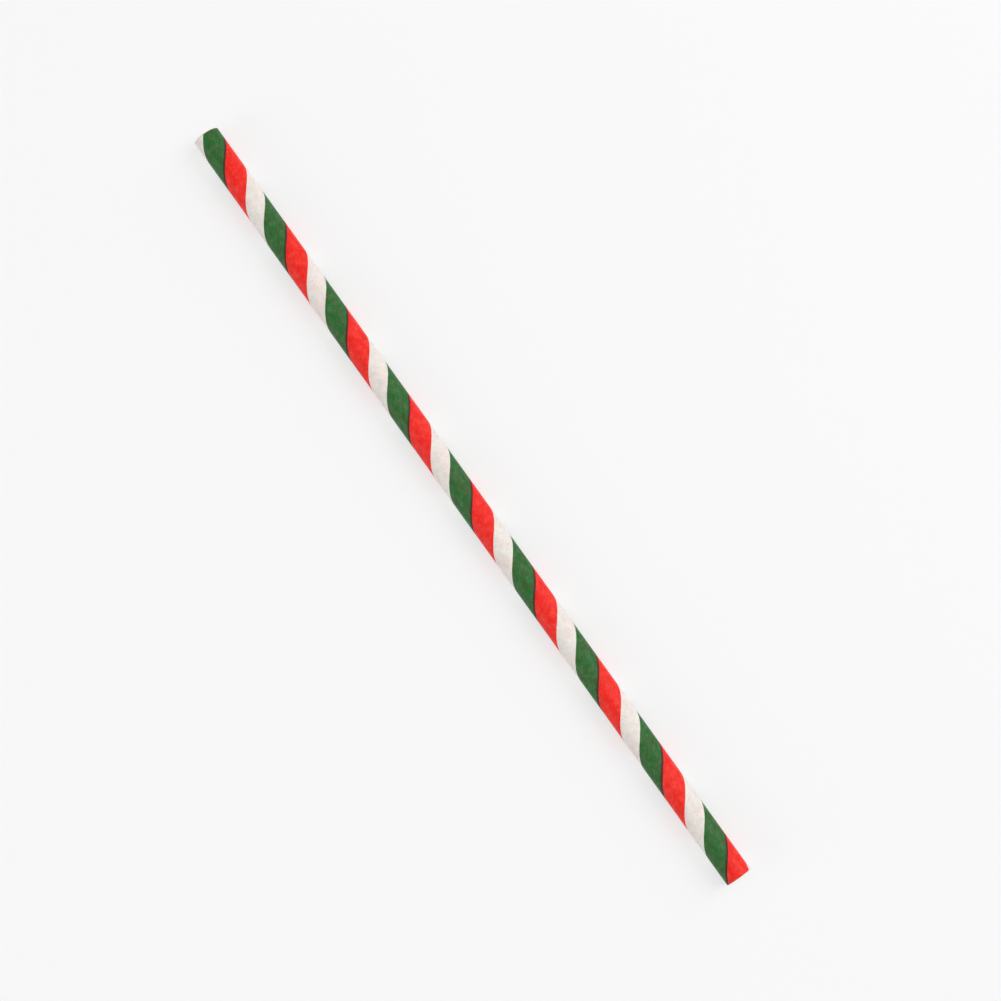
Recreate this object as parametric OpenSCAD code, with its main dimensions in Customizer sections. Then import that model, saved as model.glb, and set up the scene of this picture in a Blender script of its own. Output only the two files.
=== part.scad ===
// Paper drinking straw: a straight tube wound on a spiral from strips of paper.
// A printed strip lies outside, over plain strips, and the butt joint between its
// turns runs round the straw as one fine open seam, from end to end.
// The straw lies along X on the plane z = 0, with the middle of its length at x = 0.

/* [Straw] */
// Length from one cut end to the other
straw_length = 197; // [60:1:300]
// Outside diameter
outer_diameter = 6; // [4:0.1:12]
// Width of the small flat spot that the soft paper gets along the line on which it lies
flat_width = 1; // [0.2:0.1:1.2]

/* [Wall] */
// Thickness of the printed ply on the outside
outer_ply = 0.08; // [0.05:0.01:0.15]
// Thickness of each plain ply under it
inner_ply = 0.16; // [0.1:0.01:0.3]
// Number of plain plies
inner_ply_count = 2; // [1:1:4]

/* [Winding] */
// Advance of the printed strip along the straw in one full turn
lead = 23.1; // [12:0.1:40]
// Gap between neighbouring turns of the printed strip, square to its edges
seam_gap = 0.2; // [0.1:0.05:0.5]
// How far glue fills the gap up from the ply under it
glue_fill = 0.025; // [0:0.005:0.04]
// Place along the straw where the seam crosses its top line
seam_place = 1.8; // [-12:0.1:12]

/* [Hidden] */
$fn = 96;

outer_radius = outer_diameter / 2;
core_radius = outer_radius - outer_ply;
bore_radius = core_radius - inner_ply_count * inner_ply;
seam_floor_radius = core_radius + glue_fill;
// Height of the straw's axis over the surface that the flat spot rests on
axis_height = sqrt(pow(outer_radius, 2) - pow(flat_width / 2, 2));

// Angle between the edge of the strip and the length of the straw
edge_angle = atan2(PI * outer_diameter, lead);
// Width of the open seam, measured along the straw
seam_along = seam_gap / sin(edge_angle);

// The seam is cut in short straight steps, and its cutter passes the skin and the ends
steps_a_turn = 24;
step_advance = lead / steps_a_turn;
cutter_margin = 0.1;
end_overrun = 1;
cutter_reach = straw_length / 2 + end_overrun + seam_along;
first_step = floor((-cutter_reach - seam_place) / step_advance);
last_step = ceil((cutter_reach - seam_place) / step_advance);

// A round rod or bore on the straw's own axis
module along_x(length, radius) {
    rotate([0, 90, 0])
        cylinder(h = length, r = radius, center = true);
}

// A point on one edge of the seam: side is -1 or 1, and the winding is right-handed
function edge_point(step, side, radius) =
    let (turned = step * 360 / steps_a_turn)
    [seam_place + step * step_advance + side * seam_along / 2,
     -radius * sin(turned),
     radius * cos(turned)];

// The four corners of the cutter's section at one step
function cutter_section(step, low, high) =
    [edge_point(step, -1, low), edge_point(step, 1, low),
     edge_point(step, 1, high), edge_point(step, -1, high)];

// A square-sided band that follows the seam from one radius out to another
module seam_band(low, high) {
    corners = 4;
    rings = last_step - first_step;
    points = [for (step = [first_step:last_step]) each cutter_section(step, low, high)];
    faces = [
        [for (corner = [0:corners - 1]) corner],
        for (ring = [0:rings - 1], corner = [0:corners - 1])
            let (here = corners * ring + corner,
                 next = corners * ring + (corner + 1) % corners)
            each [[here, here + corners, next + corners], [here, next + corners, next]],
        [for (corner = [corners - 1:-1:0]) corners * rings + corner]
    ];
    polyhedron(points, faces);
}

// The open seam goes down through the printed ply and stops on the round floor of glue
module open_seam() {
    difference() {
        seam_band(seam_floor_radius - cutter_margin, outer_radius + cutter_margin);
        along_x(straw_length + 4 * end_overrun, seam_floor_radius);
    }
}

// All that would reach under the surface, which leaves the flat spot
module below_surface() {
    translate([0, 0, -axis_height - outer_radius / 2])
        cube([straw_length + 2 * end_overrun, outer_diameter, outer_radius], center = true);
}

// The glued plies are one piece of paper tube, cut square at both ends
module straw() {
    color([0.93, 0.9, 0.86])
        translate([0, 0, axis_height])
            difference() {
                along_x(straw_length, outer_radius);
                open_seam();
                along_x(straw_length + 2 * end_overrun, bore_radius);
                below_surface();
            }
}

straw();
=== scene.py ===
"""A paper drinking straw with red, white and green spiral stripes, lying on a pale floor.

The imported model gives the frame: the straw lies along X with its flat spot on z = 0. Lengths are
millimetres, as in the part's source, and the mesh becomes metres once it is finished. Only the
floor and the lamps are given in metres.
"""

from __future__ import annotations

import logging
import math
from dataclasses import dataclass
from enum import Enum

import bmesh
import bpy
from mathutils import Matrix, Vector

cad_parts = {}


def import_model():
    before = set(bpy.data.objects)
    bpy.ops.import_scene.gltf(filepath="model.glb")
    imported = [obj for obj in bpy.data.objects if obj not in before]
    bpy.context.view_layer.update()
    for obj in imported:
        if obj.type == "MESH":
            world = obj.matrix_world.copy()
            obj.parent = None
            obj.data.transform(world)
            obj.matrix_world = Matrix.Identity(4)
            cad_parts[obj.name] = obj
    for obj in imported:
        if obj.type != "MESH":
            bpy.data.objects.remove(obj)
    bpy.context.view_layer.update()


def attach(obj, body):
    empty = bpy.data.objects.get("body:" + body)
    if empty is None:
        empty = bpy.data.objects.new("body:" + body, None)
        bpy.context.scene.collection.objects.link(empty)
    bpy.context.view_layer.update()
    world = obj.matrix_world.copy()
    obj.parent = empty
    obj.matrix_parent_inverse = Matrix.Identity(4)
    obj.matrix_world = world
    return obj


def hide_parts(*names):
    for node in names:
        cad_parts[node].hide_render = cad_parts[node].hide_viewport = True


LOG = logging.getLogger("straw")
MM = 0.001
MERGE_WITHIN = 0.001  # Points of the winding that are nearer than this are one
ON_PLANE = 1e-5  # A point this near to a cutting plane is on it
AT_END = 1e-3  # A point this near to a cut end belongs to its rim
NOISE_MEAN = 0.5
MIX_FIRST, MIX_SECOND, MIX_RESULT = 6, 7, 2  # The colours among the Mix node's sockets
PLAIN_WHITE = (1.0, 1.0, 1.0, 1.0)

ScreenColour = tuple[float, float, float]
LinearColour = tuple[float, float, float, float]
Socket = bpy.types.NodeSocket


def linear(colour: ScreenColour) -> LinearColour:
    """Turn a colour from screen values into the renderer's linear values.

    Args:
        colour: Red, green and blue as seen on a screen, from 0 to 255.

    Returns:
        Red, green, blue and a full alpha, linear, from 0 to 1.
    """
    # A screen's curve is straight near black and a power from there on
    straight_to, slope, offset, power = 0.04045, 12.92, 0.055, 2.4
    parts = [channel / 255 for channel in colour]
    curved = [((part + offset) / (1 + offset)) ** power for part in parts]
    red, green, blue = (
        part / slope if part <= straight_to else bent for part, bent in zip(parts, curved))
    return red, green, blue, 1.0


class Surface(Enum):
    """The places of the straw's finishes among its material slots."""

    SKIN = 0
    PAPER = 1
    SEAM = 2


@dataclass(frozen=True)
class Winding:
    """How the paper strips wind round the straw, which the mesh and the print share.

    Attributes:
        lead: Advance along the straw in one full turn.
        seam_place: Place along the straw where the outer seam crosses its top line.
        outer_radius: Radius of the straw's skin.
        flat_width: Width of the flat spot that the straw lies on.
    """

    lead: float = 23.1
    seam_place: float = 1.8
    outer_radius: float = 3.0
    flat_width: float = 1.0

    @property
    def axis_height(self) -> float:
        """Height of the straw's axis over the floor."""
        return math.sqrt(self.outer_radius**2 - (self.flat_width / 2) ** 2)

    @property
    def girth(self) -> float:
        """Length once round the skin."""
        return 2 * math.pi * self.outer_radius

    @property
    def strip_turn(self) -> float:
        """Length of strip in one full turn."""
        return math.hypot(self.lead, self.girth)

    @property
    def strip_width(self) -> float:
        """Width of the printed strip with its share of the gap, square to its edges."""
        return self.lead * self.girth / self.strip_turn


@dataclass(frozen=True)
class SeamGroove:
    """An open butt seam between two turns of one strip.

    Attributes:
        gap: Width between the strip's edges, square to them.
        depth: Depth of the seam.
        lip: Radius of each rounded lip.
        lip_steps: Steps of the mesh round a lip.
        level_share: Share of the half gap over which the floor is level.
        fillet_run: How far the top of the glue in a corner stands in from the strip's edge.
        fillet_rise: Height of that top over the level floor.
    """

    gap: float = 0.2
    depth: float = 0.055
    lip: float = 0.016
    lip_steps: int = 3
    level_share: float = 0.8
    fillet_run: float = 0.004
    fillet_rise: float = 0.006

    @property
    def half_width(self) -> float:
        """Half the gap."""
        return self.gap / 2

    def section(self, stretch: float) -> list[tuple[float, float]]:
        """Work out the section from the seam's middle out to its lip.

        Args:
            stretch: Length along the straw of a millimetre square to the strip's edge.

        Returns:
            Pairs of distance along the straw and depth under the skin.
        """
        half, lip = self.half_width, self.lip
        floor = [
            (0.0, self.depth),
            (half * self.level_share, self.depth),
            (half - self.fillet_run, self.depth - self.fillet_rise),
        ]
        angles = [math.radians(90 * n / self.lip_steps) for n in range(self.lip_steps + 1)]
        edge = [(half + lip * (1 - math.cos(a)), lip * (1 - math.sin(a))) for a in angles]
        return [(across * stretch, down) for across, down in floor + edge]


@dataclass(frozen=True)
class Noise:
    """One smooth noise that a finish reads.

    Attributes:
        scale: Features to a millimetre.
        detail: How many finer layers are added.
        roughness: How strong the finer layers are.
    """

    scale: float
    detail: float = 3.0
    roughness: float = 0.6


@dataclass(frozen=True)
class Ramp:
    """An eased change from one number to another while a value passes from low to high.

    Attributes:
        low: Where the change starts.
        high: Where it ends.
        before: The number before it.
        after: The number after it.
    """

    low: float
    high: float
    before: float = 0.0
    after: float = 1.0


class NodeSheet:
    """Shader nodes of a material or of the surroundings, with short calls for their sums."""

    def __init__(self, owner: bpy.types.Material | bpy.types.World) -> None:
        """Start an empty sheet.

        Args:
            owner: The material or the world that the nodes belong to.
        """
        owner.use_nodes = True
        self.owner = owner
        self.tree = owner.node_tree
        self.tree.nodes.clear()

    def put(self, socket: Socket, value: Socket | float | tuple) -> None:
        """Feed an input with another node's output, or with a fixed value.

        Args:
            socket: The input.
            value: What it gets.
        """
        if isinstance(value, bpy.types.NodeSocket):
            self.tree.links.new(value, socket)
        else:
            socket.default_value = value

    def add(self, kind: str, inputs: dict | None = None, **settings: object) -> bpy.types.Node:
        """Add a node.

        Args:
            kind: Blender's name for the kind of node, without its leading ShaderNode.
            inputs: What each input gets, by its name or number.
            **settings: Properties of the node itself.

        Returns:
            The new node.
        """
        node = self.tree.nodes.new("ShaderNode" + kind)
        for name, value in settings.items():
            setattr(node, name, value)
        for name, value in (inputs or {}).items():
            self.put(node.inputs[name], value)
        return node

    def math(self, operation: str, *values: Socket | float) -> Socket:
        """Work out one sum on numbers.

        Args:
            operation: The sum, as the Math node names it.
            *values: Its terms, in order.

        Returns:
            The result.
        """
        return self.add("Math", dict(enumerate(values)), operation=operation).outputs[0]

    def vector(self, x: Socket, y: Socket, z: Socket) -> Socket:
        """Join three numbers into a vector.

        Args:
            x: First number.
            y: Second number.
            z: Third number.

        Returns:
            The vector.
        """
        return self.add("CombineXYZ", {0: x, 1: y, 2: z}).outputs[0]

    def noise(self, place: Socket, noise: Noise) -> Socket:
        """Read a noise.

        Args:
            place: Where it is read, in millimetres.
            noise: The noise.

        Returns:
            Its value there, from 0 to 1 with its mean at 0.5.
        """
        return self.add("TexNoise", {
            "Vector": place,
            "Scale": noise.scale,
            "Detail": noise.detail,
            "Roughness": noise.roughness,
        }).outputs[0]

    def sway(self, about: Socket | float, noise: Socket, strength: float) -> Socket:
        """Move a number up and down with a noise.

        Args:
            about: The number.
            noise: The noise's value.
            strength: How far the number moves while the noise goes from 0 to 1.

        Returns:
            The number that sways.
        """
        centred = self.math("SUBTRACT", noise, NOISE_MEAN)
        return self.math("MULTIPLY_ADD", centred, strength, about)

    def ease(self, value: Socket, ramp: Ramp) -> Socket:
        """Ease from one number to another along a ramp.

        Args:
            value: The value that passes along the ramp.
            ramp: The ramp.

        Returns:
            The eased number.
        """
        return self.add("MapRange", {
            "Value": value,
            "From Min": ramp.low,
            "From Max": ramp.high,
            "To Min": ramp.before,
            "To Max": ramp.after,
        }, interpolation_type="SMOOTHSTEP").outputs[0]

    def mix(self, share: Socket | float, first: Socket | LinearColour,
            second: Socket | LinearColour, blend: str = "MIX") -> Socket:
        """Mix two colours.

        Args:
            share: How much of the second colour there is, from 0 to 1.
            first: The first colour.
            second: The second colour.
            blend: How they mix, as the Mix node names it.

        Returns:
            The mixed colour.
        """
        inputs = {0: share, MIX_FIRST: first, MIX_SECOND: second}
        node = self.add("Mix", inputs, data_type="RGBA", blend_type=blend)
        return node.outputs[MIX_RESULT]

    def tone(self, colour: Socket, tone: Socket) -> Socket:
        """Lighten or darken a colour by a factor."""
        return self.mix(1.0, colour, self.vector(tone, tone, tone), "MULTIPLY")

    def shown(self) -> Socket:
        """Tell the rays that show a surface from those that only carry its light to others.

        Returns:
            1 for camera, glossy and transmission rays, 0 for the others.
        """
        path = self.add("LightPath").outputs
        mirrored = self.math("MAXIMUM", path["Is Glossy Ray"], path["Is Transmission Ray"])
        return self.math("MAXIMUM", path["Is Camera Ray"], mirrored)

    def finish(self, shader: bpy.types.Node) -> bpy.types.Material | bpy.types.World:
        """Send a shader to the output and close the sheet.

        Args:
            shader: The last shader node.

        Returns:
            The finished material or world.
        """
        is_world = isinstance(self.owner, bpy.types.World)
        self.add("OutputWorld" if is_world else "OutputMaterial", {"Surface": shader.outputs[0]})
        return self.owner


@dataclass(frozen=True)
class StripPlace:
    """Where a point of the straw lies on its printed strip, as numbers that shader nodes read.

    Attributes:
        phase: Share of the strip's width, from 0 at one edge to 1 at the other.
        flat: Place on the strip laid flat: along it, across it, and the radius.
        length: Place along the straw.
        radius: Distance from the straw's axis.
    """

    phase: Socket
    flat: Socket
    length: Socket
    radius: Socket

    @classmethod
    def read(cls, sheet: NodeSheet, winding: Winding) -> StripPlace:
        """Unwind the strip from the straw.

        The turns are counted so that the place on the flat strip has no break but at the seam.

        Args:
            sheet: The material's nodes.
            winding: How the strip winds.

        Returns:
            The place on the strip.
        """
        centred = sheet.add("Mapping", {
            "Vector": sheet.add("TexCoord").outputs["Object"],
            "Location": (-winding.seam_place, 0.0, -winding.axis_height),
            "Scale": (1 / MM, 1 / MM, 1 / MM),
        }).outputs[0]
        x, y, z = sheet.add("SeparateXYZ", {0: centred}).outputs
        angle = sheet.math("ARCTAN2", sheet.math("MULTIPLY", y, -1.0), z)
        turned = sheet.math("DIVIDE", angle, 2 * math.pi)
        turns = sheet.math("SUBTRACT", sheet.math("DIVIDE", x, winding.lead), turned)
        phase = sheet.math("FRACT", turns)
        unwound = sheet.math("ADD", turned, sheet.math("FLOOR", turns))
        forward = sheet.math("MULTIPLY", x, winding.lead / winding.strip_turn)
        girth_along = winding.girth**2 / winding.strip_turn
        along = sheet.math("MULTIPLY_ADD", unwound, girth_along, forward)
        across = sheet.math("MULTIPLY", phase, winding.strip_width)
        squares = sheet.math("ADD", sheet.math("POWER", y, 2.0), sheet.math("POWER", z, 2.0))
        radius = sheet.math("SQRT", squares)
        length = sheet.math("ADD", x, winding.seam_place)
        return cls(phase, sheet.vector(along, across, radius), length, radius)


@dataclass(frozen=True)
class PaperGrain:
    """The paper's own fibres, tufts, clouds and tooth, which every finish shares.

    Attributes:
        fibre: The fibres, across the strip.
        fibre_length: How much longer a fibre is than wide.
        tuft: The tufts of fibres, across the strip.
        tuft_length: How much longer a tuft is than wide.
        cloud: Slow light and dark patches.
        tooth: The finest bumps.
        fibre_share: Share of the relief that is the fibres'; the rest is the tooth's.
        height: Height of the relief.
    """

    fibre: Noise = Noise(9.0)
    fibre_length: float = 7.0
    tuft: Noise = Noise(3.2, roughness=0.7)
    tuft_length: float = 3.0
    cloud: Noise = Noise(0.7)
    tooth: Noise = Noise(14.0, roughness=0.65)
    fibre_share: float = 0.6
    height: float = 0.03

    @staticmethod
    def drawn_out(sheet: NodeSheet, flat: Socket, noise: Noise, length: float) -> Socket:
        """Read a noise whose features lie along the strip.

        Args:
            sheet: The material's nodes.
            flat: Place on the flat strip.
            noise: The noise, as it is across the strip.
            length: How much longer its features are than wide.

        Returns:
            Its value, from 0 to 1.
        """
        squeezed = sheet.add("Mapping", {"Vector": flat, "Scale": (1 / length, 1.0, 1.0)})
        return sheet.noise(squeezed.outputs[0], noise)

    def fibres(self, sheet: NodeSheet, flat: Socket) -> Socket:
        """Read the fibres at a place on the flat strip."""
        return self.drawn_out(sheet, flat, self.fibre, self.fibre_length)

    def tufts(self, sheet: NodeSheet, flat: Socket) -> Socket:
        """Read the tufts, on which ink lies thin, at a place on the flat strip."""
        return self.drawn_out(sheet, flat, self.tuft, self.tuft_length)

    def clouds(self, sheet: NodeSheet, flat: Socket) -> Socket:
        """Read the clouds at a place on the flat strip."""
        return sheet.noise(flat, self.cloud)

    def relief(self, sheet: NodeSheet, flat: Socket, fibres: Socket) -> Socket:
        """Bump the surface with its fibres and tooth.

        Args:
            sheet: The material's nodes.
            flat: Place on the flat strip.
            fibres: The fibres at that place.

        Returns:
            The bumped normal.
        """
        tooth = sheet.math("MULTIPLY", sheet.noise(flat, self.tooth), 1 - self.fibre_share)
        height = sheet.math("MULTIPLY_ADD", fibres, self.fibre_share, tooth)
        inputs = {"Height": height, "Distance": self.height * MM, "Strength": 1.0}
        return sheet.add("Bump", inputs).outputs[0]


@dataclass(frozen=True)
class InkBands:
    """Three bands side by side on the strip: red ink, bare paper and green ink.

    Attributes:
        red: The first band's ink.
        white: The bare band between the inks.
        green: The last band's ink.
        olive: The green where its ink lies uneven.
        blush: Tint that the bare band takes in places.
        red_share: Share of the strip's width that is red.
        green_share: Share of the strip's width that is green.
        blur: Width over which one band passes into the next.
        stray: How far an ink's edge strays from its line.
        stray_noise: How the edges stray.
        blush_noise: Where the bare band is tinted.
        blush_ramp: How that noise becomes tint.
        olive_noise: Where the green lies uneven.
        olive_ramp: How that noise becomes olive.
    """

    red: ScreenColour = (236, 28, 14)
    white: ScreenColour = (231, 226, 219)
    green: ScreenColour = (25, 97, 35)
    olive: ScreenColour = (45, 85, 32)
    blush: ScreenColour = (234, 211, 205)
    red_share: float = 0.348
    green_share: float = 0.355
    blur: float = 0.05
    stray: float = 0.10
    stray_noise: Noise = Noise(1.6, 4.0, 0.65)
    blush_noise: Noise = Noise(0.3, roughness=0.5)
    blush_ramp: Ramp = Ramp(0.36, 0.70, after=0.5)
    olive_noise: Noise = Noise(0.8, roughness=0.55)
    olive_ramp: Ramp = Ramp(0.36, 0.66)

    def lay(self, sheet: NodeSheet, place: StripPlace, winding: Winding) -> Socket:
        """Lay the bands side by side across the strip.

        Args:
            sheet: The material's nodes.
            place: Where the point lies on the strip.
            winding: How the strip winds.

        Returns:
            The colour of the print.
        """
        strayed = sheet.noise(place.flat, self.stray_noise)
        phase = sheet.sway(place.phase, strayed, self.stray / winding.strip_width)
        half = self.blur / winding.strip_width / 2
        green_from = 1 - self.green_share
        past_red = sheet.ease(phase, Ramp(self.red_share - half, self.red_share + half))
        past_white = sheet.ease(phase, Ramp(green_from - half, green_from + half))
        tinted = sheet.ease(sheet.noise(place.flat, self.blush_noise), self.blush_ramp)
        bare = sheet.mix(tinted, linear(self.white), linear(self.blush))
        uneven = sheet.ease(sheet.noise(place.flat, self.olive_noise), self.olive_ramp)
        green = sheet.mix(uneven, linear(self.green), linear(self.olive))
        red_and_bare = sheet.mix(past_red, linear(self.red), bare)
        return sheet.mix(past_white, red_and_bare, green)


@dataclass(frozen=True)
class Mottling:
    """Paper that shows through the ink: an uneven tone, thin places and a few specks.

    Attributes:
        paper: Bare fibres that show through thin ink.
        speck: A fleck of dark fibre in the paper.
        fibre_tone: How much the fibres sway the tone.
        cloud_tone: How much the clouds sway it.
        fleck_tone: How much the flecks sway it.
        flecks: Small light and dark places.
        thin: How much paper the tufts let through.
        patches: How much paper the clouds let through.
        specks: Where specks lie, pale ones where it is high and dark ones where it is low.
        pale: How much paper a pale speck shows.
        deep: How dark a dark speck is.
    """

    paper: ScreenColour = (226, 216, 204)
    speck: ScreenColour = (62, 48, 40)
    fibre_tone: float = 0.30
    cloud_tone: float = 0.38
    fleck_tone: float = 0.34
    flecks: Noise = Noise(2.4, 2.0, 0.7)
    thin: Ramp = Ramp(0.46, 0.80, after=0.06)
    patches: Ramp = Ramp(0.42, 0.72, after=0.035)
    specks: Noise = Noise(4.2, 2.0, 0.7)
    pale: Ramp = Ramp(0.66, 0.76, after=0.17)
    deep: Ramp = Ramp(0.34, 0.24, after=0.30)

    def over(self, sheet: NodeSheet, flat: Socket, ink: Socket, grain: PaperGrain) -> Socket:
        """Let the paper show through the ink.

        Args:
            sheet: The material's nodes.
            flat: Place on the flat strip.
            ink: The colour of the print.
            grain: The paper's grain.

        Returns:
            The mottled colour.
        """
        clouds = grain.clouds(sheet, flat)
        tone = sheet.sway(1.0, grain.fibres(sheet, flat), self.fibre_tone)
        tone = sheet.sway(tone, clouds, self.cloud_tone)
        tone = sheet.sway(tone, sheet.noise(flat, self.flecks), self.fleck_tone)
        thin = sheet.ease(grain.tufts(sheet, flat), self.thin)
        bare = sheet.math("ADD", thin, sheet.ease(clouds, self.patches))
        covered = sheet.mix(bare, sheet.tone(ink, tone), linear(self.paper))
        specks = sheet.noise(flat, self.specks)
        lightened = sheet.mix(sheet.ease(specks, self.pale), covered, linear(self.paper))
        return sheet.mix(sheet.ease(specks, self.deep), lightened, linear(self.speck))


@dataclass(frozen=True)
class DarkEdge:
    """A dark line painted along the strip's green edge beside the seam: partly ink and glue,
    partly painted shade of the seam.

    Attributes:
        colour: Ink and glue together, with the seam's painted shade.
        width: Width of the full dark line.
        fade: Width over which it fades into the green.
        strength: How much it covers.
        stray: How far its edge strays.
        stray_noise: How its edge strays.
    """

    colour: ScreenColour = (58, 41, 32)
    width: float = 0.19
    fade: float = 0.18
    strength: float = 0.94
    stray: float = 0.2
    stray_noise: Noise = Noise(2.2, roughness=0.7)

    def over(self, sheet: NodeSheet, place: StripPlace, colour: Socket, winding: Winding,
             seam: SeamGroove) -> Socket:
        """Draw the line over the print.

        Args:
            sheet: The material's nodes.
            place: Where the point lies on the strip.
            colour: The colour so far.
            winding: How the strip winds.
            seam: The seam that the line runs along.

        Returns:
            The colour with its dark line.
        """
        left = sheet.math("SUBTRACT", 1.0, place.phase)
        inside = sheet.math("MULTIPLY", left, winding.strip_width)
        strayed = sheet.noise(place.flat, self.stray_noise)
        solid_to = seam.half_width + self.width
        ramp = Ramp(solid_to, solid_to + self.fade, self.strength, 0.0)
        # Painted shade of the seam, with ink and glue: full dark beside the gap, fading into the
        # green
        shade = sheet.ease(sheet.sway(inside, strayed, self.stray), ramp)
        return sheet.mix(shade, colour, linear(self.colour))


@dataclass(frozen=True)
class CutEdgeTan:
    """A tan band along each cut end of the skin, fading inwards over a ragged edge.

    Attributes:
        colour: The band's tan.
        width: Width over which the band fades, and how far its edge is ragged.
        strength: How much the tan covers the print at the cut.
        ragged: How its edge is ragged.
    """

    colour: ScreenColour = (196, 164, 138)
    width: float = 0.10
    strength: float = 0.8
    ragged: Noise = Noise(3.0, roughness=0.7)

    def over(self, sheet: NodeSheet, place: StripPlace, colour: Socket,
             half_length: float) -> Socket:
        """Lay the tan band along both cut ends.

        Args:
            sheet: The material's nodes.
            place: Where the point lies on the strip.
            colour: The colour so far.
            half_length: Place of the cut end along the straw.

        Returns:
            The colour with its tan bands at the ends.
        """
        rag = sheet.math("MULTIPLY", sheet.noise(place.flat, self.ragged), self.width)
        to_end = sheet.math("SUBTRACT", half_length, sheet.math("ABSOLUTE", place.length))
        ramp = Ramp(0.0, self.width, self.strength, 0.0)
        tan_share = sheet.ease(sheet.math("SUBTRACT", to_end, rag), ramp)
        return sheet.mix(tan_share, colour, linear(self.colour))


@dataclass(frozen=True)
class PrintedSkin:
    """The outer strip's printed face.

    Attributes:
        bands: The inks and the bare band.
        mottling: The paper that shows through.
        dark_edge: The dark line along the green edge, partly painted shade of the seam.
        cut_edge_tan: The tan bands along the cut ends.
        roughness: How the fibres vary the roughness.
        gloss: Strength of its shine, where 0.5 is that of a plain varnish.
    """

    bands: InkBands = InkBands()
    mottling: Mottling = Mottling()
    dark_edge: DarkEdge = DarkEdge()
    cut_edge_tan: CutEdgeTan = CutEdgeTan()
    roughness: Ramp = Ramp(0.3, 0.7, 0.37, 0.51)
    gloss: float = 0.17

    def material(self, winding: Winding, grain: PaperGrain, seam: SeamGroove,
                 half_length: float) -> bpy.types.Material:
        """Make the printed finish.

        Args:
            winding: How the strip winds.
            grain: The paper's grain.
            seam: The seam between the strip's turns.
            half_length: Place of the cut end along the straw.

        Returns:
            The material.
        """
        sheet = NodeSheet(bpy.data.materials.new("printed_skin"))
        place = StripPlace.read(sheet, winding)
        fibres = grain.fibres(sheet, place.flat)
        colour = self.bands.lay(sheet, place, winding)
        colour = self.mottling.over(sheet, place.flat, colour, grain)
        colour = self.dark_edge.over(sheet, place, colour, winding, seam)
        colour = self.cut_edge_tan.over(sheet, place, colour, half_length)
        return sheet.finish(sheet.add("BsdfPrincipled", {
            "Base Color": colour,
            "Roughness": sheet.ease(fibres, self.roughness),
            "Specular IOR Level": self.gloss,
            "Normal": grain.relief(sheet, place.flat, fibres),
        }))


@dataclass(frozen=True)
class PlainPaper:
    """Unprinted paper: the bore and the cut ends.

    Attributes:
        colour: The paper's face.
        cut: The cut edge of the plies, which is a little browner.
        cut_from: Distance outside the bore at which the cut edge's colour starts.
        cut_to: Distance outside the bore at which it is full.
        fibre_tone: How much the fibres sway the tone.
        cloud_tone: How much the clouds sway it.
        roughness: Its roughness.
        gloss: Strength of its shine.
    """

    colour: ScreenColour = (232, 224, 212)
    cut: ScreenColour = (220, 200, 180)
    cut_from: float = 0.005
    cut_to: float = 0.03
    fibre_tone: float = 0.22
    cloud_tone: float = 0.18
    roughness: float = 0.85
    gloss: float = 0.2

    def material(self, winding: Winding, grain: PaperGrain,
                 bore_radius: float) -> bpy.types.Material:
        """Make the plain finish.

        Args:
            winding: How the strips wind.
            grain: The paper's grain.
            bore_radius: Radius of the bore.

        Returns:
            The material.
        """
        sheet = NodeSheet(bpy.data.materials.new("plain_paper"))
        place = StripPlace.read(sheet, winding)
        fibres = grain.fibres(sheet, place.flat)
        tone = sheet.sway(1.0, grain.clouds(sheet, place.flat), self.cloud_tone)
        tone = sheet.sway(tone, fibres, self.fibre_tone)
        ramp = Ramp(bore_radius + self.cut_from, bore_radius + self.cut_to)
        on_cut = sheet.ease(place.radius, ramp)
        colour = sheet.mix(on_cut, linear(self.colour), linear(self.cut))
        return sheet.finish(sheet.add("BsdfPrincipled", {
            "Base Color": sheet.tone(colour, tone),
            "Roughness": self.roughness,
            "Specular IOR Level": self.gloss,
            "Normal": grain.relief(sheet, place.flat, fibres),
        }))


@dataclass(frozen=True)
class SeamGlueAndShade:
    """The floor and walls of the open seam, painted dark: partly glue and ink, partly painted
    shade of the narrow groove.

    Attributes:
        dark: Colour where ink and glue have run together, with the groove's painted shade.
        light: Colour where more of the paper shows, still under the groove's painted shade.
        noise: Where more of the paper shows.
        ramp: How that noise becomes the lighter colour.
        roughness: Its roughness.
        gloss: Strength of its shine.
    """

    dark: ScreenColour = (44, 30, 22)
    light: ScreenColour = (72, 54, 40)
    noise: Noise = Noise(1.3)
    ramp: Ramp = Ramp(0.35, 0.7)
    roughness: float = 0.6
    gloss: float = 0.25

    def material(self, winding: Winding) -> bpy.types.Material:
        """Make the seam's finish.

        Args:
            winding: How the strip winds.

        Returns:
            The material.
        """
        sheet = NodeSheet(bpy.data.materials.new("seam_glue_and_shade"))
        flat = StripPlace.read(sheet, winding).flat
        share = sheet.ease(sheet.noise(flat, self.noise), self.ramp)
        # Both browns carry painted shade of the groove as well as its glue and ink
        return sheet.finish(sheet.add("BsdfPrincipled", {
            "Base Color": sheet.mix(share, linear(self.dark), linear(self.light)),
            "Roughness": self.roughness,
            "Specular IOR Level": self.gloss,
        }))


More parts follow.
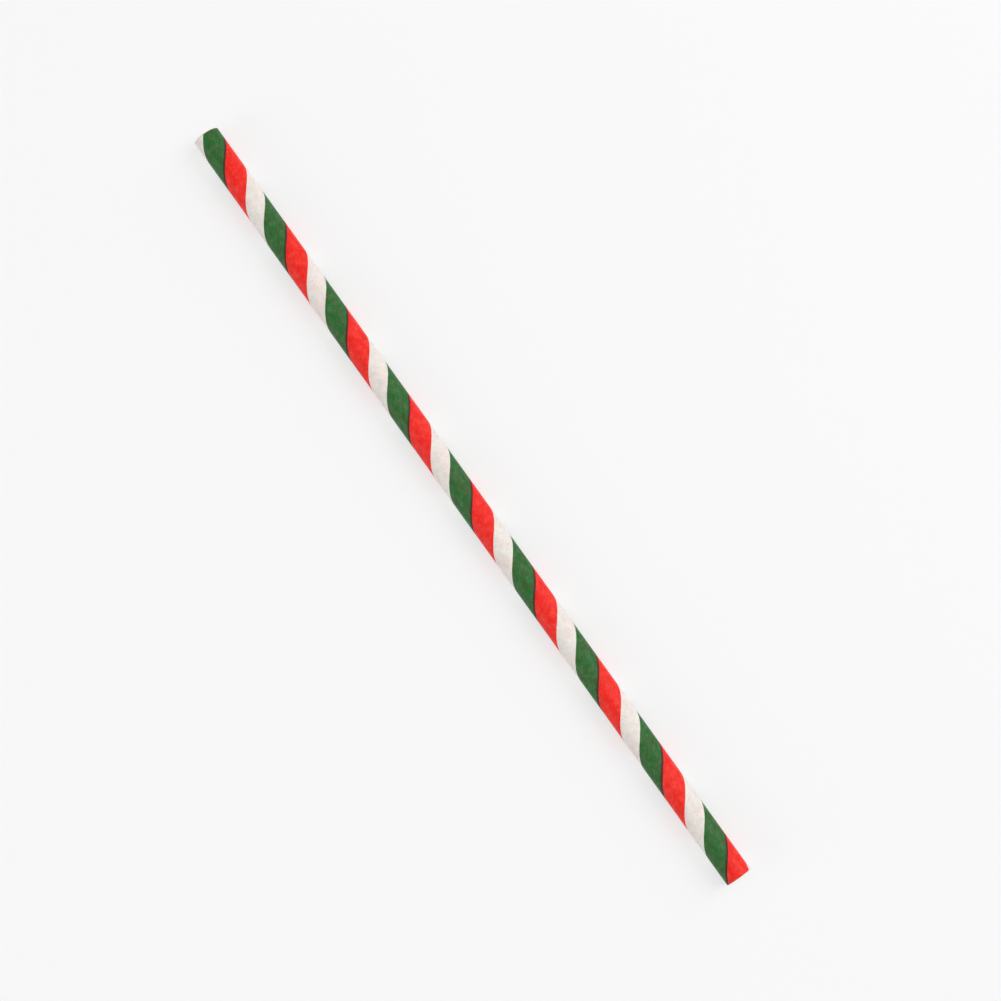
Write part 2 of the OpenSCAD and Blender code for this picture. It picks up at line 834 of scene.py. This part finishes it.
@dataclass(frozen=True)
class BakeSheet:
    """The map on which the straw's surfaces lie flat when its finishes are baked.

    The skin is cut open along its lowest line and lies in rows, one over the other. The bore lies
    in one row over them, and the two ends lie in the corner that is left.

    Attributes:
        length: Length of the straw.
        bore_radius: Radius of its bore.
        outer_radius: Radius of its skin.
        rows: Number of rows of skin.
        row_height: Height of a row of skin.
        bore_height: Height of the bore's row.
        end_size: Width of a cut end.
        side_gap: Space left and right of a row, for the faces that reach past it.
        gap: Space under each row.
        end_slope: How far along the straw a face's normal points where it is of a cut end.
    """

    length: float
    bore_radius: float
    outer_radius: float
    rows: int = 3
    row_height: float = 0.268
    bore_height: float = 0.075
    end_size: float = 0.04
    side_gap: float = 0.016
    gap: float = 0.012
    end_slope: float = 0.7

    @property
    def over_skin(self) -> float:
        """Height on the map at which the rows of skin end."""
        return self.rows * (self.row_height + self.gap)

    def lay_out(self, bm: bmesh.types.BMesh) -> None:
        """Give every corner of the mesh its place on the map.

        Args:
            bm: The straw with its axis on the X axis, in millimetres.
        """
        layer = bm.loops.layers.uv.new("OFBake")
        middle = (self.bore_radius + self.outer_radius) / 2
        for face in bm.faces:
            centre = face.calc_center_median()
            is_end = abs(face.normal.x) > self.end_slope
            is_skin = math.hypot(centre.y, centre.z) > middle
            for loop in face.loops:
                point = loop.vert.co
                if is_end:
                    place = self.on_end(point, centre.x > 0)
                elif is_skin:
                    place = self.on_row(point, centre)
                else:
                    place = self.on_bore(point, centre)
                loop[layer].uv = place

    def round_share(self, point: Vector, centre: Vector) -> float:
        """Find how far round the axis a point is from the lowest line.

        Args:
            point: A corner of a face.
            centre: The face's centre, on whose side of the lowest line the corner counts.

        Returns:
            The share of a full turn.
        """
        around = math.atan2(-centre.y, centre.z)
        past = math.atan2(-point.y, point.z) - around
        return (around + math.remainder(past, 2 * math.pi)) / (2 * math.pi) + 0.5

    def along_row(self, share: float) -> float:
        """Turn a share of a row's length into a place across the map."""
        return self.side_gap + share * (1 - 2 * self.side_gap)

    def on_row(self, point: Vector, centre: Vector) -> tuple[float, float]:
        """Place a point of the skin, in the row in which its face's centre lies.

        Args:
            point: The point.
            centre: The face's centre.

        Returns:
            Its place on the map.
        """
        row = min(int((centre.x / self.length + 0.5) * self.rows), self.rows - 1)
        across = (point.x / self.length + 0.5) * self.rows - row
        up = self.gap + row * (self.row_height + self.gap)
        return self.along_row(across), up + self.round_share(point, centre) * self.row_height

    def on_bore(self, point: Vector, centre: Vector) -> tuple[float, float]:
        """Place a point of the bore, in the row over the skin.

        Args:
            point: The point.
            centre: The face's centre.

        Returns:
            Its place on the map.
        """
        up = self.gap + self.over_skin
        across = point.x / self.length + 0.5
        return self.along_row(across), up + self.round_share(point, centre) * self.bore_height

    def on_end(self, point: Vector, at_right: bool) -> tuple[float, float]:
        """Place a point of a cut end, over the bore.

        Args:
            point: The point.
            at_right: Whether the end is the one at positive X.

        Returns:
            Its place on the map.
        """
        up = 2 * self.gap + self.over_skin + self.bore_height
        left = self.gap + at_right * (self.end_size + self.gap)
        across = point.y / (2 * self.outer_radius) + 0.5
        high = point.z / (2 * self.outer_radius) + 0.5
        return left + across * self.end_size, up + high * self.end_size


@dataclass
class Straw:
    """The glued paper tube: printed skin with its open seam, plain bore, and square cut ends.

    Attributes:
        winding: How the strips wind.
        outer_seam: The seam of the printed strip.
        inner_seam: The seam of the innermost strip, in the bore.
        inner_lag: How far the bore's seam runs behind the outer one, as a share of a lead.
        length: Length from one cut end to the other.
        bore_radius: Radius of the bore.
        ply_lines: Radii of the glue lines between the plies, the outer one first.
        line_half_width: Half the width of a glue line.
        line_depth: Depth of a glue line.
        cut_round: How far the cut ends' edges are rounded.
        cut_run: Length along the straw of that rounding.
        skin_sink: How far the mesh lies under the nominal skin, to stay inside its box.
        steps_a_turn: Steps of the mesh in one full turn.
        columns: Columns of the mesh between the lips of the seam.
        sharp_angle: Angle in degrees past which an edge of the mesh is shaded sharp.
    """

    winding: Winding
    outer_seam: SeamGroove = SeamGroove()
    inner_seam: SeamGroove = SeamGroove(gap=0.16, depth=0.05)
    inner_lag: float = 0.42
    length: float = 197.0
    bore_radius: float = 2.6
    ply_lines: tuple[float, float] = (2.92, 2.76)
    line_half_width: float = 0.005
    line_depth: float = 0.02
    cut_round: float = 0.015
    cut_run: float = 0.03
    skin_sink: float = 0.002
    steps_a_turn: int = 96
    columns: int = 18
    sharp_angle: float = 38.0

    @property
    def mid_wall(self) -> float:
        """Radius halfway through the wall."""
        return (self.bore_radius + self.winding.outer_radius) / 2

    def build(self) -> bpy.types.Object:
        """Make the straw's mesh and its object.

        Returns:
            The straw, with its place in its mesh, in metres.
        """
        bm = bmesh.new()
        start, lead = self.winding.seam_place, self.winding.lead
        skin = self.winding.outer_radius - self.skin_sink
        self.wind(bm, self.profile(skin, self.outer_seam, -1), start, Surface.SKIN)
        self.mark_seam(bm, skin - self.outer_seam.depth / 2)
        inner = self.profile(self.bore_radius, self.inner_seam, 1)
        self.wind(bm, inner, start + self.inner_lag * lead, Surface.PAPER)
        for side in (-1, 1):
            self.cut_end(bm, side)
        bmesh.ops.recalc_face_normals(bm, faces=bm.faces)
        BakeSheet(self.length, self.bore_radius, self.winding.outer_radius).lay_out(bm)
        bmesh.ops.translate(bm, verts=bm.verts, vec=(0.0, 0.0, self.winding.axis_height))
        for vert in bm.verts:
            vert.co.z = max(vert.co.z, 0.0)
        bmesh.ops.scale(bm, verts=bm.verts, vec=(MM, MM, MM))
        return self.as_object(bm)

    def profile(self, radius: float, seam: SeamGroove, way: int) -> list[Vector]:
        """Draw the section of one strip over one lead, from the middle of the seam to the next.

        Args:
            radius: Radius of the surface.
            seam: The seam at the strip's edges.
            way: 1 where the seam is cut away from the axis, -1 where it is cut towards it.

        Returns:
            Points in the plane of the top line.
        """
        lead = self.winding.lead
        first = seam.section(self.winding.strip_turn / self.winding.girth)
        lip = first[-1][0]
        span = lead - 2 * lip
        between = [(lip + span * n / self.columns, 0.0) for n in range(1, self.columns)]
        last = [(lead - x, down) for x, down in reversed(first)]
        return [Vector((x, 0.0, radius + way * down)) for x, down in first + between + last]

    def wind(self, bm: bmesh.types.BMesh, profile: list[Vector], start: float,
             surface: Surface) -> None:
        """Wind a profile round the axis on a screw, from before one end to past the other.

        One turn is spun, and the others are copies of it, moved by whole leads and merged.

        Args:
            bm: The mesh that gets the surface.
            profile: The section over one lead.
            start: Place along the straw where the surface's own seam crosses the top line.
            surface: The finish that the surface gets.
        """
        lead, before = self.winding.lead, set(bm.verts)
        first = math.floor((-self.length / 2 - start) / lead) - 1
        last = math.ceil((self.length / 2 - start) / lead)
        origin = Vector((start + first * lead, 0.0, 0.0))
        verts = [bm.verts.new(point + origin) for point in profile]
        edges = [bm.edges.new(pair) for pair in zip(verts, verts[1:])]
        bmesh.ops.spin(
            bm, geom=[*verts, *edges], cent=(0, 0, 0), axis=(1, 0, 0), angle=2 * math.pi,
            steps=self.steps_a_turn, dvec=(lead / self.steps_a_turn, 0, 0),
        )
        turn = [v for v in bm.verts if v not in before]
        faces = {f for v in turn for f in v.link_faces}
        for face in faces:
            face.material_index = surface.value
        geometry = [*turn, *{e for v in turn for e in v.link_edges}, *faces]
        for number in range(1, last - first):
            copy = bmesh.ops.duplicate(bm, geom=geometry)["geom"]
            moved = [v for v in copy if isinstance(v, bmesh.types.BMVert)]
            bmesh.ops.translate(bm, verts=moved, vec=(number * lead, 0.0, 0.0))
        made = [v for v in bm.verts if v not in before]
        bmesh.ops.remove_doubles(bm, verts=made, dist=MERGE_WITHIN)

    @staticmethod
    def mark_seam(bm: bmesh.types.BMesh, under: float) -> None:
        """Give the open seam's floor and walls their own finish.

        Args:
            bm: The mesh, with only the skin in it.
            under: Radius under which a face belongs to the seam.
        """
        for face in bm.faces:
            centre = face.calc_center_median()
            if math.hypot(centre.y, centre.z) < under:
                face.material_index = Surface.SEAM.value

    def cut_end(self, bm: bmesh.types.BMesh, side: int) -> None:
        """Cut the straw square, round its edge a little and close it with the ends of the plies.

        Args:
            bm: The mesh.
            side: 1 for the end at positive X, -1 for the other.
        """
        end = side * self.length / 2
        for place, clear in ((end - side * self.cut_run, False), (end, True)):
            bmesh.ops.bisect_plane(
                bm, geom=[*bm.verts, *bm.edges, *bm.faces], dist=ON_PLANE,
                plane_co=(place, 0, 0), plane_no=(side, 0, 0), clear_outer=clear,
            )
        open_edges = (e for e in bm.edges if e.is_boundary)
        rim = [e for e in open_edges if all(abs(v.co.x - end) < AT_END for v in e.verts)]
        outer = [e for e in rim if self.radius_of(e.verts[0]) > self.mid_wall]
        inner = [e for e in rim if self.radius_of(e.verts[0]) <= self.mid_wall]
        for edges, outwards in ((outer, -self.cut_round), (inner, self.cut_round)):
            for vert in {v for e in edges for v in e.verts}:
                self.move(vert, self.radius_of(vert) + outwards, end)
        high, low = self.ply_lines
        half, dip = self.line_half_width, side * self.line_depth
        for radius, inset in ((high + half, 0), (high, dip), (high - half, 0)):
            outer = self.ring(bm, outer, radius, end - inset)
        for radius, inset in ((low - half, 0), (low, dip), (low + half, 0)):
            inner = self.ring(bm, inner, radius, end - inset)
        # Each loop's points crowd at its own seam, so the space between is filled, not bridged
        filled = bmesh.ops.triangle_fill(
            bm, edges=[*outer, *inner], use_beauty=True, normal=(side, 0, 0))
        for face in (f for f in filled["geom"] if isinstance(f, bmesh.types.BMFace)):
            face.material_index = Surface.PAPER.value

    def ring(self, bm: bmesh.types.BMesh, edges: list[bmesh.types.BMEdge], radius: float,
             x: float) -> list[bmesh.types.BMEdge]:
        """Extrude a closed loop to a ring of another radius.

        Args:
            bm: The mesh.
            edges: The loop.
            radius: Radius of the ring.
            x: Place of the ring along the straw.

        Returns:
            The ring's edges.
        """
        made = bmesh.ops.extrude_edge_only(bm, edges=edges)["geom"]
        for vert in (v for v in made if isinstance(v, bmesh.types.BMVert)):
            self.move(vert, radius, x)
        for face in (f for f in made if isinstance(f, bmesh.types.BMFace)):
            face.material_index = Surface.PAPER.value
        return [e for e in made if isinstance(e, bmesh.types.BMEdge) and e.is_boundary]

    @staticmethod
    def radius_of(vert: bmesh.types.BMVert) -> float:
        """Measure a vertex's distance from the straw's axis."""
        return math.hypot(vert.co.y, vert.co.z)

    @staticmethod
    def move(vert: bmesh.types.BMVert, radius: float, x: float) -> None:
        """Move a vertex to another radius at its own angle, and to a place along the straw."""
        share = radius / math.hypot(vert.co.y, vert.co.z)
        vert.co = (x, vert.co.y * share, vert.co.z * share)

    def as_object(self, bm: bmesh.types.BMesh) -> bpy.types.Object:
        """Hand the mesh to an object at the origin and dress it.

        Args:
            bm: The finished mesh, which is freed.

        Returns:
            The object.
        """
        mesh = bpy.data.meshes.new("straw_paper")
        bm.to_mesh(mesh)
        bm.free()
        mesh.shade_smooth()
        mesh.set_sharp_from_angle(angle=math.radians(self.sharp_angle))
        self.dress(mesh)
        piece = bpy.data.objects.new("straw_paper", mesh)
        bpy.context.collection.objects.link(piece)
        return piece

    def dress(self, mesh: bpy.types.Mesh) -> None:
        """Give the mesh its finishes, in the order of their places in Surface.

        Args:
            mesh: The straw's mesh.
        """
        winding, grain = self.winding, PaperGrain()
        skin = PrintedSkin().material(winding, grain, self.outer_seam, self.length / 2)
        paper = PlainPaper().material(winding, grain, self.bore_radius)
        for material in (skin, paper, SeamGlueAndShade().material(winding)):
            mesh.materials.append(material)


@dataclass(frozen=True)
class AreaLamp:
    """A soft square lamp that looks at the straw.

    Attributes:
        name: Its name.
        place: Where it hangs, in metres.
        size: Length of its side, in metres.
        power: Its power, in watts.
    """

    name: str
    place: tuple[float, float, float]
    size: float
    power: float

    def hang(self) -> None:
        """Put the lamp in the scene."""
        data = bpy.data.lights.new(self.name, "AREA")
        data.size, data.energy = self.size, self.power
        lamp = bpy.data.objects.new(self.name, data)
        lamp.location = self.place
        lamp.rotation_euler = (-Vector(self.place)).to_track_quat("-Z", "Y").to_euler()
        bpy.context.collection.objects.link(lamp)


@dataclass
class Studio:
    """The floor, the soft lamps, the pale surroundings and the camera.

    Attributes:
        camera_place: Where the camera is, in millimetres.
        camera_turn: The camera's turn about X, Y and Z, in degrees.
        sensor_width: Width of the camera's sensor, in millimetres.
        focal_share: Focal length over the width of the sensor, both in the picture's pixels.
        floor_size: Side of the floor, in metres.
        floor_sink: How far the floor lies under the straw, in metres, so that the two never
            coincide.
        floor_grey: How much of the light the floor throws back.
        floor_white: Share of the floor near the straw that is seen as plain white.
        white_from: Distance from which that share rises, in metres.
        white_to: Distance past which only white is seen, in metres.
        surround: Strength of the surroundings' even light.
        lamps: The lamps.
    """

    camera_place: tuple[float, float, float] = (56.945, 5.648, 537.067)
    camera_turn: tuple[float, float, float] = (4.5803, 3.2950, 54.3667)
    sensor_width: float = 36.0
    focal_share: float = 2500 / 1001
    floor_size: float = 8.0
    floor_sink: float = 0.00001
    floor_grey: float = 0.86
    floor_white: float = 0.6
    white_from: float = 0.25
    white_to: float = 0.9
    surround: float = 0.38
    lamps: tuple[AreaLamp, ...] = (
        AreaLamp("key", (0.25, 1.0, 1.1), 0.8, 8.6),
        AreaLamp("top", (0.1, 0.1, 1.6), 1.0, 5.9),
        AreaLamp("far_side", (0.0, 0.9, 0.35), 0.5, 1.8),
        AreaLamp("near_side", (-0.1, -0.9, 0.35), 0.5, 2.6),
    )

    def place_camera(self) -> None:
        """Set the camera at the photograph's viewing angle."""
        data = bpy.data.cameras.new("camera")
        data.sensor_width = self.sensor_width
        data.lens = self.sensor_width * self.focal_share
        camera = bpy.data.objects.new("camera", data)
        camera.location = Vector(self.camera_place) * MM
        camera.rotation_euler = [math.radians(turn) for turn in self.camera_turn]
        bpy.context.collection.objects.link(camera)
        bpy.context.scene.camera = camera

    def lay_floor(self) -> None:
        """Lay a plain pale floor that keeps the straw's shadow."""
        bm = bmesh.new()
        bmesh.ops.create_grid(bm, x_segments=1, y_segments=1, size=self.floor_size / 2)
        bmesh.ops.translate(bm, verts=bm.verts, vec=(0.0, 0.0, -self.floor_sink))
        mesh = bpy.data.meshes.new("floor")
        bm.to_mesh(mesh)
        bm.free()
        mesh.materials.append(self.floor_finish())
        floor = bpy.data.objects.new("floor", mesh)
        bpy.context.collection.objects.link(floor)

    def floor_finish(self) -> bpy.types.Material:
        """Make the floor's finish, matte and whiter to the eye than it lights the straw.

        Returns:
            The material.
        """
        sheet = NodeSheet(bpy.data.materials.new("pale_floor"))
        place = sheet.add("TexCoord").outputs["Object"]
        away = sheet.add("VectorMath", {0: place}, operation="LENGTH").outputs["Value"]
        white = sheet.ease(away, Ramp(self.white_from, self.white_to, self.floor_white, 1.0))
        share = sheet.math("MULTIPLY", sheet.shown(), white)
        grey = (self.floor_grey, self.floor_grey, self.floor_grey, 1.0)
        matte = sheet.add("BsdfDiffuse", {"Color": grey})
        glow = sheet.add("Emission", {"Color": PLAIN_WHITE, "Strength": 1.0})
        return sheet.finish(sheet.add("MixShader", {
            0: share,
            1: matte.outputs[0],
            2: glow.outputs[0],
        }))

    def surround_it(self) -> None:
        """Put an even light all round, which is seen as plain white."""
        sheet = NodeSheet(bpy.data.worlds.new("surroundings"))
        strength = sheet.ease(sheet.shown(), Ramp(0.0, 1.0, self.surround, 1.0))
        light = sheet.add("Background", {"Color": PLAIN_WHITE, "Strength": strength})
        bpy.context.scene.world = sheet.finish(light)

    def build(self) -> None:
        """Build the whole studio."""
        self.place_camera()
        self.lay_floor()
        for lamp in self.lamps:
            lamp.hang()
        self.surround_it()
        bpy.context.scene.view_settings.view_transform = "Standard"


def main() -> None:
    """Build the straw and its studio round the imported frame."""
    logging.basicConfig(level=logging.INFO)
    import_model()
    straw = Straw(Winding()).build()
    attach(straw, "root")
    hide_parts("straw")
    LOG.info("%s: %d faces", straw.name, len(straw.data.polygons))
    Studio().build()


if __name__ == "__main__":
    main()
